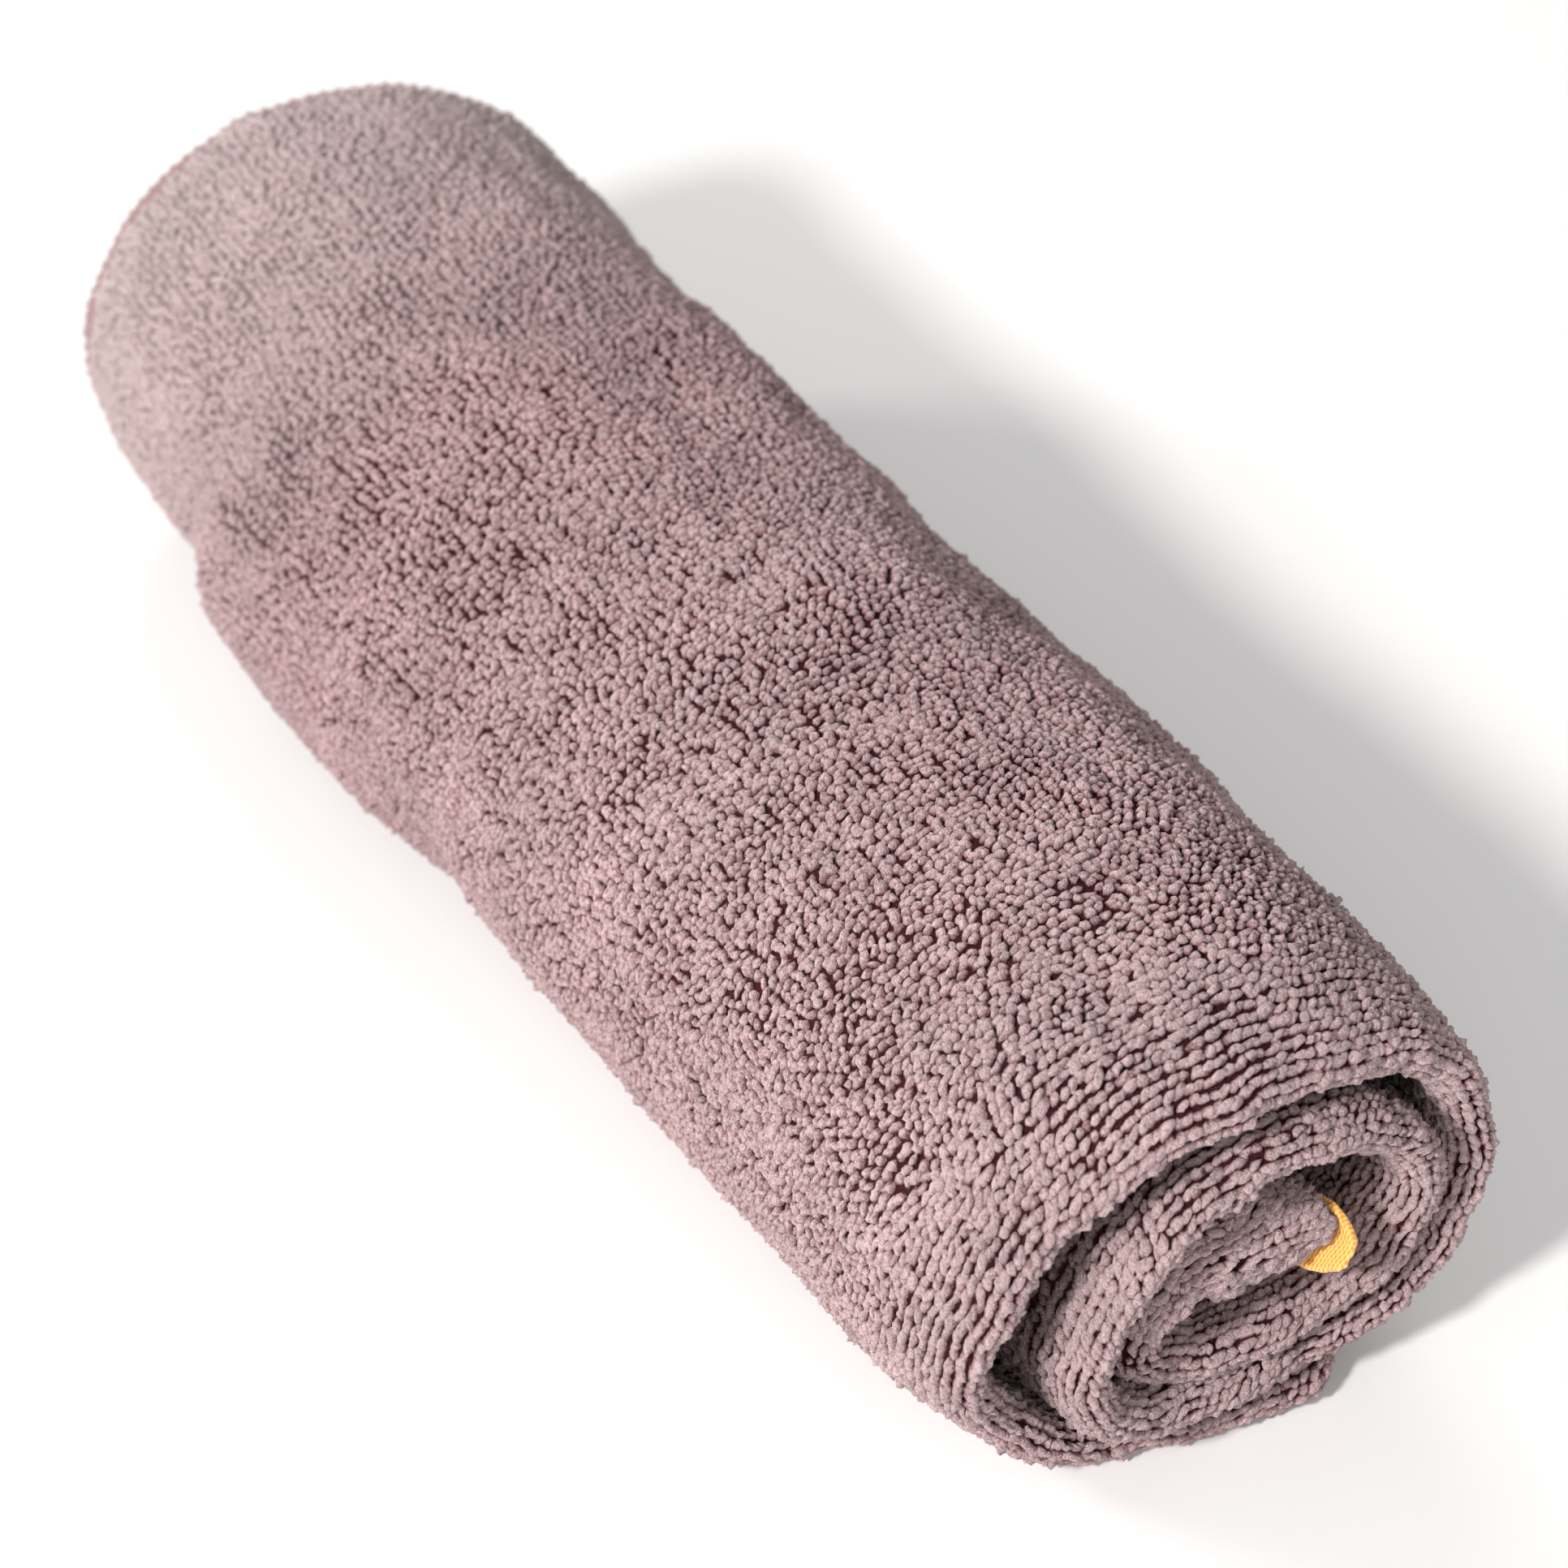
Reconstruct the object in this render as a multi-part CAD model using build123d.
from build123d import *
import math
import os

# Microfibre terry towel, folded in half lengthwise and rolled up.
# +X runs along the roll towards the end that shows the folded edge, +Y to the
# right seen from that end, +Z up.  The origin lies on the flat resting patch
# under the roll, half way along it.  Millimetres throughout.
# "Distance" below means distance along the sheet's middle line from the core.

# ---------------------------------------------------------------- cloth
CLOTH_T = 6.0          # two plies of terry with their pile, lightly pressed
HALF_T = CLOTH_T / 2
HEMMED_X = -124.0      # where the cloth meets its side hems
CORE_X = 128.0         # folded edge of each turn
SECOND_X = 129.0
OUTER_X = 126.0
JOIN_GAP = 0.06        # clearance at the start and end of a stretch of sheet

FLEX_START = 359.0     # distance of the first flex line of the loose outer end
FLEX_PITCH = 13.0
FLEX_COUNT = 4

# ---------------------------------------------------------------- hems and thread
SIDE_HEM_OUT = 2.6     # side hems stand this far out past the cloth
SIDE_HEM_T = 2.5
SIDE_HEM_OFFSETS = (-1.6, 1.6)   # centre lines either side of the middle line
SIDE_HEM_GAP = 0.05    # cloth to hem, and hem to thread
SIDE_HEM_START_GAP = 0.3         # from the core end hem
FREE_HEM_LEN = 7.0     # hem of the free end, along the sheet
FREE_HEM_HALF_T = HALF_T - 0.2
CORE_HEM_LEN = 15.0    # turned-over hem at the core, along the sheet
CORE_HEM_R = 5.3       # its half thickness

THREAD_T = 0.6
THREAD_END_GAP = 0.3   # side hem thread stops this far short of its hem
STITCH_RUN = 3.6
STITCH_PITCH = 6.0
STITCH_T = THREAD_T / 2
STITCH_GAP = 0.02      # clear of the surface below
STITCH_MARGIN = 6.0    # from the edges of the cloth
CORE_STITCH_END_X = 96.0
CORE_STITCH_INSET = 2.5          # back from the end of each hem
FREE_STITCH_INSET = 2.0

# ---------------------------------------------------------------- hang loop
TAPE_T = 0.55
TAPE_GAP = 0.15        # clear of the hem it lies on
LEG_GAP = 0.5          # between the two free legs
TAPE_ANGLES = (-64.0, 60.0)      # round the core tip, degrees from +Y towards +Z
TAPE_BACK_X = 104.0    # inner end of the sewn part
TAPE_SPLIT_X = 118.5   # where the free part begins
TAPE_SPLIT_GAP = 0.1
TAPE_FRONT_X = 130.0

BARTACK_INSETS = (1.5, 7.5)      # from the inner end of the tape
BARTACK_W = 2.0
BARTACK_RISE = (0.03, 0.45)      # bottom and top above the tape
BARTACK_TRIM = 8.0     # degrees short of the tape's edges

# ---------------------------------------------------------------- care label
LABEL_T = 0.4
LABEL_W = 26.0         # along the sheet
LABEL_X = (-130.0, -112.0)
LABEL_POINT = 33.6     # its middle, as a fractional index into SHEET
LABEL_GAP = 0.55       # clear of the cloth
LABEL_STITCH_X = (-121.0, -120.4)
LABEL_STITCH_INSET = 2.0
LABEL_STITCH_RUN = 3.4
LABEL_STITCH_PITCH = 5.6
LABEL_STITCH_COUNT = 4

# Middle line of the rolled sheet as (y, z), from the core outwards.
SHEET = [
    (9.0, 33.2), (3.5, 33.6), (-2.2, 32.8), (-7.6, 30.4), (-11.4, 26.2),
    (-11.8, 21.2), (-7.8, 17.4), (-0.5, 16.0), (9.0, 15.9), (18.2, 16.9),
    (25.2, 21.0), (28.4, 28.0), (28.0, 36.4), (23.4, 44.2), (14.9, 49.6),
    (4.5, 51.8), (-6.0, 50.8), (-15.6, 46.2), (-22.4, 38.4), (-24.8, 29.2),
    (-22.8, 19.8), (-16.6, 12.8), (-7.5, 9.8), (3.0, 9.3), (13.5, 9.5),
    (23.8, 10.8), (32.2, 15.6), (37.2, 24.4), (38.4, 35.4), (35.6, 46.4),
    (28.8, 55.9), (18.4, 63.0), (6.0, 66.3), (-7.0, 65.6), (-19.4, 60.8),
    (-29.6, 52.4), (-36.2, 41.6), (-38.4, 30.0), (-35.8, 18.6), (-29.4, 9.9),
    (-22.0, 5.0), (-15.0, 3.1), (-8.0, 2.92), (-1.5, 2.92), (5.0, 2.92),
    (10.5, 2.92), (14.8, 2.98), (18.6, 3.2),
]
SECOND_POINT = 4       # index where the second turn begins
OUTER_POINT = 21       # index where the outer turn begins
TIP_Y, TIP_Z = SHEET[0]          # centre of the core hem's round tip

# ---------------------------------------------------------------- middle line
# Drawn flat, with the roll's Y and Z as the curve's X and Y.
curve = Spline(*[Vector(y, z, 0) for y, z in SHEET])
LENGTH = curve.length
SAMPLE_STEP = 0.5
SAMPLES = [curve @ (i * SAMPLE_STEP / LENGTH) for i in range(int(LENGTH / SAMPLE_STEP) + 1)]


def frame_at(distance):
    """Point y, z and unit tangent y, z of the middle line."""
    fraction = min(max(distance / LENGTH, 0.0), 1.0)
    point, tangent = curve @ fraction, curve % fraction
    size = math.hypot(tangent.X, tangent.Y)
    return point.X, point.Y, tangent.X / size, tangent.Y / size


def offset_point(distance, offset):
    """Point offset towards the core (+) or the outside (-) of the middle line."""
    y, z, tangent_y, tangent_z = frame_at(distance)
    return y - tangent_z * offset, z + tangent_y * offset


def nearest_distance(y, z):
    """Distance of the sample nearest to a point."""
    def gap(i):
        return (SAMPLES[i].X - y) ** 2 + (SAMPLES[i].Y - z) ** 2
    return min(range(len(SAMPLES)), key=gap) * SAMPLE_STEP


def sheet_distance(index):
    """Distance of a point of SHEET; a fractional index lies between two."""
    whole = math.floor(index)
    start = nearest_distance(*SHEET[whole])
    if index == whole:
        return start
    return start + (index - whole) * (nearest_distance(*SHEET[whole + 1]) - start)


# ---------------------------------------------------------------- helpers
def extrude_x(edges, x0, x1):
    return extrude(make_face(Wire(edges)), amount=x1 - x0, dir=(1, 0, 0))


def strip(start, end, low, high, x0, x1, spacing=4.0):
    """Stretch of the sheet between two distances and two offsets, from x0 to x1."""
    count = max(3, int(round((end - start) / spacing)))
    distances = [start + (end - start) * i / count for i in range(count + 1)]
    lows = [Vector(x0, *offset_point(distance, low)) for distance in distances]
    highs = [Vector(x0, *offset_point(distance, high)) for distance in distances]
    edges = [
        Spline(*lows), Line(lows[-1], highs[-1]),
        Spline(*reversed(highs)), Line(highs[0], lows[0]),
    ]
    return extrude_x(edges, x0, x1)


def cloth(start, end, x_end, spacing=4.0):
    return strip(start, end, -HALF_T, HALF_T, HEMMED_X, x_end, spacing)


def side_strips(start, end, thickness, x0, x1):
    """One strip on the centre line of each side hem."""
    half = thickness / 2
    return [strip(start, end, offset - half, offset + half, x0, x1)
            for offset in SIDE_HEM_OFFSETS]


def stitch_row(distance, offset, x_end):
    """Separate straight stitches laid end to end along X."""
    _, _, tangent_y, tangent_z = frame_at(distance)
    y, z = offset_point(distance, offset)
    angle = math.degrees(math.atan2(tangent_z, tangent_y))
    stitches = []
    x = HEMMED_X + STITCH_MARGIN
    while x + STITCH_RUN <= x_end:
        stitch = Box(STITCH_RUN, THREAD_T, STITCH_T)
        stitches.append(Pos(x + STITCH_RUN / 2, y, z) * Rot(angle, 0, 0) * stitch)
        x += STITCH_PITCH
    return stitches


def curled(r0, r1, x0, x1, trim=0.0):
    """Band curled round the core tip, trimmed by some degrees at both edges."""
    first, last = TAPE_ANGLES[0] + trim, TAPE_ANGLES[1] - trim
    middle = (first + last) / 2

    def polar(radius, angle):
        turn = math.radians(angle)
        return Vector(x0, TIP_Y + radius * math.cos(turn), TIP_Z + radius * math.sin(turn))

    edges = [
        ThreePointArc(polar(r0, first), polar(r0, middle), polar(r0, last)),
        Line(polar(r0, last), polar(r1, last)),
        ThreePointArc(polar(r1, last), polar(r1, middle), polar(r1, first)),
        Line(polar(r1, first), polar(r0, first)),
    ]
    return extrude_x(edges, x0, x1)


def write(name, *shapes):
    solids = [solid for shape in shapes for solid in shape.solids()]
    part = solids[0] if len(solids) == 1 else Compound(children=solids)
    part.label = name
    export_step(part, f"parts/{name}.step")


os.makedirs("parts", exist_ok=True)
below_floor = Pos(0, 0, -5.0) * Box(400, 200, 10)   # cut away to leave a true flat

# ---------------------------------------------------------------- terry sheet
second_start = sheet_distance(SECOND_POINT) + JOIN_GAP
core_end = second_start - 2 * JOIN_GAP
outer_start = sheet_distance(OUTER_POINT) + JOIN_GAP
second_end = outer_start - 2 * JOIN_GAP
outer_end = FLEX_START - JOIN_GAP
free_hem_start = LENGTH - FREE_HEM_LEN

write("terry_core_turn", cloth(CORE_HEM_LEN + JOIN_GAP, core_end, CORE_X, 2.5))
write("terry_second_turn", cloth(second_start, second_end, SECOND_X, 3.0))
write("terry_outer_turn", cloth(outer_start, outer_end, OUTER_X))

# The loose outer end is parted at the flex lines.
stops = [FLEX_START + FLEX_PITCH * i for i in range(FLEX_COUNT)] + [free_hem_start]
loose_ends = [
    (f"loose_end_{i + 1}", stops[i] + JOIN_GAP, stops[i + 1] - JOIN_GAP)
    for i in range(FLEX_COUNT)
]
for name, start, end in loose_ends:
    write("terry_" + name, cloth(start, end, OUTER_X) - below_floor)

# ---------------------------------------------------------------- short edge hems
write("free_end_hem", strip(free_hem_start + JOIN_GAP, LENGTH, -FREE_HEM_HALF_T,
                            FREE_HEM_HALF_T, HEMMED_X, OUTER_X, 2.0) - below_floor)

# The core hem is folded back on itself, so it is fatter, with a round tip.
core_bar = strip(0.0, CORE_HEM_LEN, -CORE_HEM_R, CORE_HEM_R, HEMMED_X, CORE_X, 2.5)
core_tip = Cylinder(CORE_HEM_R, CORE_X - HEMMED_X)
core_tip = Pos((HEMMED_X + CORE_X) / 2, TIP_Y, TIP_Z) * Rot(0, 90, 0) * core_tip
write("core_end_hem", core_bar + core_tip)

stitch_rise = STITCH_T / 2 + STITCH_GAP
write("core_hem_stitches", *stitch_row(
    CORE_HEM_LEN - CORE_STITCH_INSET, -CORE_HEM_R - stitch_rise, CORE_STITCH_END_X))
write("free_hem_stitches", *stitch_row(
    LENGTH - FREE_STITCH_INSET, FREE_HEM_HALF_T + stitch_rise, OUTER_X - STITCH_MARGIN))

# ---------------------------------------------------------------- side hems
# Two hems at the -X end, each with overlock thread along its crown.
hem_x = HEMMED_X - SIDE_HEM_OUT
thread_x = hem_x - SIDE_HEM_GAP
side_stretches = [
    ("core", CORE_HEM_LEN + SIDE_HEM_START_GAP, second_end),
    ("outer", outer_start, outer_end),
] + loose_ends
for name, start, end in side_stretches:
    hems = side_strips(start, end, SIDE_HEM_T, hem_x, HEMMED_X - SIDE_HEM_GAP)
    write("side_hems_" + name, *[hem - below_floor for hem in hems])
    write("side_hem_thread_" + name, *side_strips(
        start + THREAD_END_GAP, end - THREAD_END_GAP, THREAD_T, thread_x - THREAD_T, thread_x))

# ---------------------------------------------------------------- hang loop
# Flat tape folded back on itself and curled round the core tip.  The legs are
# sewn together deeper in the roll; the part near the folded edge is free.
tape_r = CORE_HEM_R + TAPE_GAP
sewn_r = tape_r + 2 * TAPE_T
loop_r = sewn_r + LEG_GAP
bight_x = TAPE_FRONT_X - TAPE_T

write("hang_loop_sewn_end", curled(tape_r, sewn_r, TAPE_BACK_X, TAPE_SPLIT_X - TAPE_SPLIT_GAP))

loop = curled(tape_r, tape_r + TAPE_T, TAPE_SPLIT_X, bight_x)
loop += curled(loop_r - TAPE_T, loop_r, TAPE_SPLIT_X, bight_x)
loop += curled(tape_r, loop_r, bight_x, TAPE_FRONT_X)
write("hang_loop", loop)

bartack_radii = [sewn_r + rise for rise in BARTACK_RISE]
write("hang_loop_bartacks", *[
    curled(*bartack_radii, TAPE_BACK_X + inset, TAPE_BACK_X + inset + BARTACK_W, BARTACK_TRIM)
    for inset in BARTACK_INSETS
])

# ---------------------------------------------------------------- care label
# A blank label on the core side of the outer turn, at the hemmed end.
label_start = sheet_distance(LABEL_POINT) - LABEL_W / 2
label_low = HALF_T + LABEL_GAP
label_high = label_low + LABEL_T
write("care_label", strip(label_start, label_start + LABEL_W, label_low, label_high, *LABEL_X))

stitch_low = label_high + STITCH_GAP
stitch_starts = [label_start + LABEL_STITCH_INSET + i * LABEL_STITCH_PITCH
                 for i in range(LABEL_STITCH_COUNT)]
write("care_label_stitches", *[
    strip(start, start + LABEL_STITCH_RUN, stitch_low, stitch_low + STITCH_T,
          *LABEL_STITCH_X, 1.2)
    for start in stitch_starts
])
